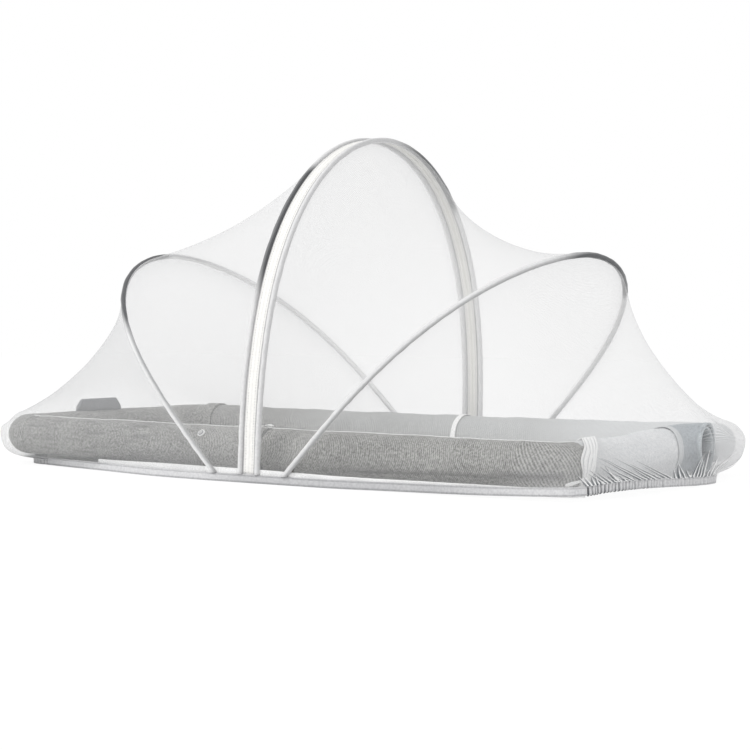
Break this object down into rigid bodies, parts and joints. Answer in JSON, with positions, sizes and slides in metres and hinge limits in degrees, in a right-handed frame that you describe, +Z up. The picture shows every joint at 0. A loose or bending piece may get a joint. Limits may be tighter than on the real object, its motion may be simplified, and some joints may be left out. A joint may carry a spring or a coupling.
{
  "type": "pop-up crib mosquito net with padded baby bed",
  "caption": "Pop-up netting canopy on bowed rods with a zipped middle arch, set over a padded baby bed; flat tape hems on the sides, gathered hems at the ends, open coiled foot roll.",
  "frame": {"origin": "on the surface it stands on, under the middle of the whole thing", "axes": "+X along the bed towards the foot end, +Y towards the far rail, +Z up"},
  "size_m": [1.1434, 0.5998, 0.5196],
  "materials": {
    "melange": "matte knitted cover over padding",
    "pale_cover": "matte pale cover over padding",
    "cotton": "matte white webbing and sheeting",
    "netting": "fine white openwork netting",
    "piping": "grey-lavender woven sleeve over a spring rod",
    "zip": "cream-white zip tape",
    "hem_tape": "pale grey woven tape",
    "tab_cloth": "matte dark grey cloth",
    "button": "satin press button"
  },
  "bodies": {
    "root": {"bed_mat": "cotton", "mattress": "cotton", "rail_near": "melange", "rail_head": "melange", "rail_far": "melange", "roll_foot": "pale_cover", "head_tab": "tab_cloth", "rail_flap": "melange", "rail_button": "button", "strap_near": "cotton", "strap_far": "cotton", "strap_corner": "cotton", "strap_tie": "cotton", "roll_band": "cotton", "hoop_head": "piping", "arch_head": "piping", "arch_foot": "piping", "hoop_foot": "piping", "zip_tape": "zip", "net_head_end": "netting", "net_head": "netting", "net_foot": "netting", "net_foot_end": "netting", "tape_near": "hem_tape", "tape_far": "hem_tape", "elastic_foot": "hem_tape", "elastic_head": "hem_tape"}
  },
  "joints": []
}
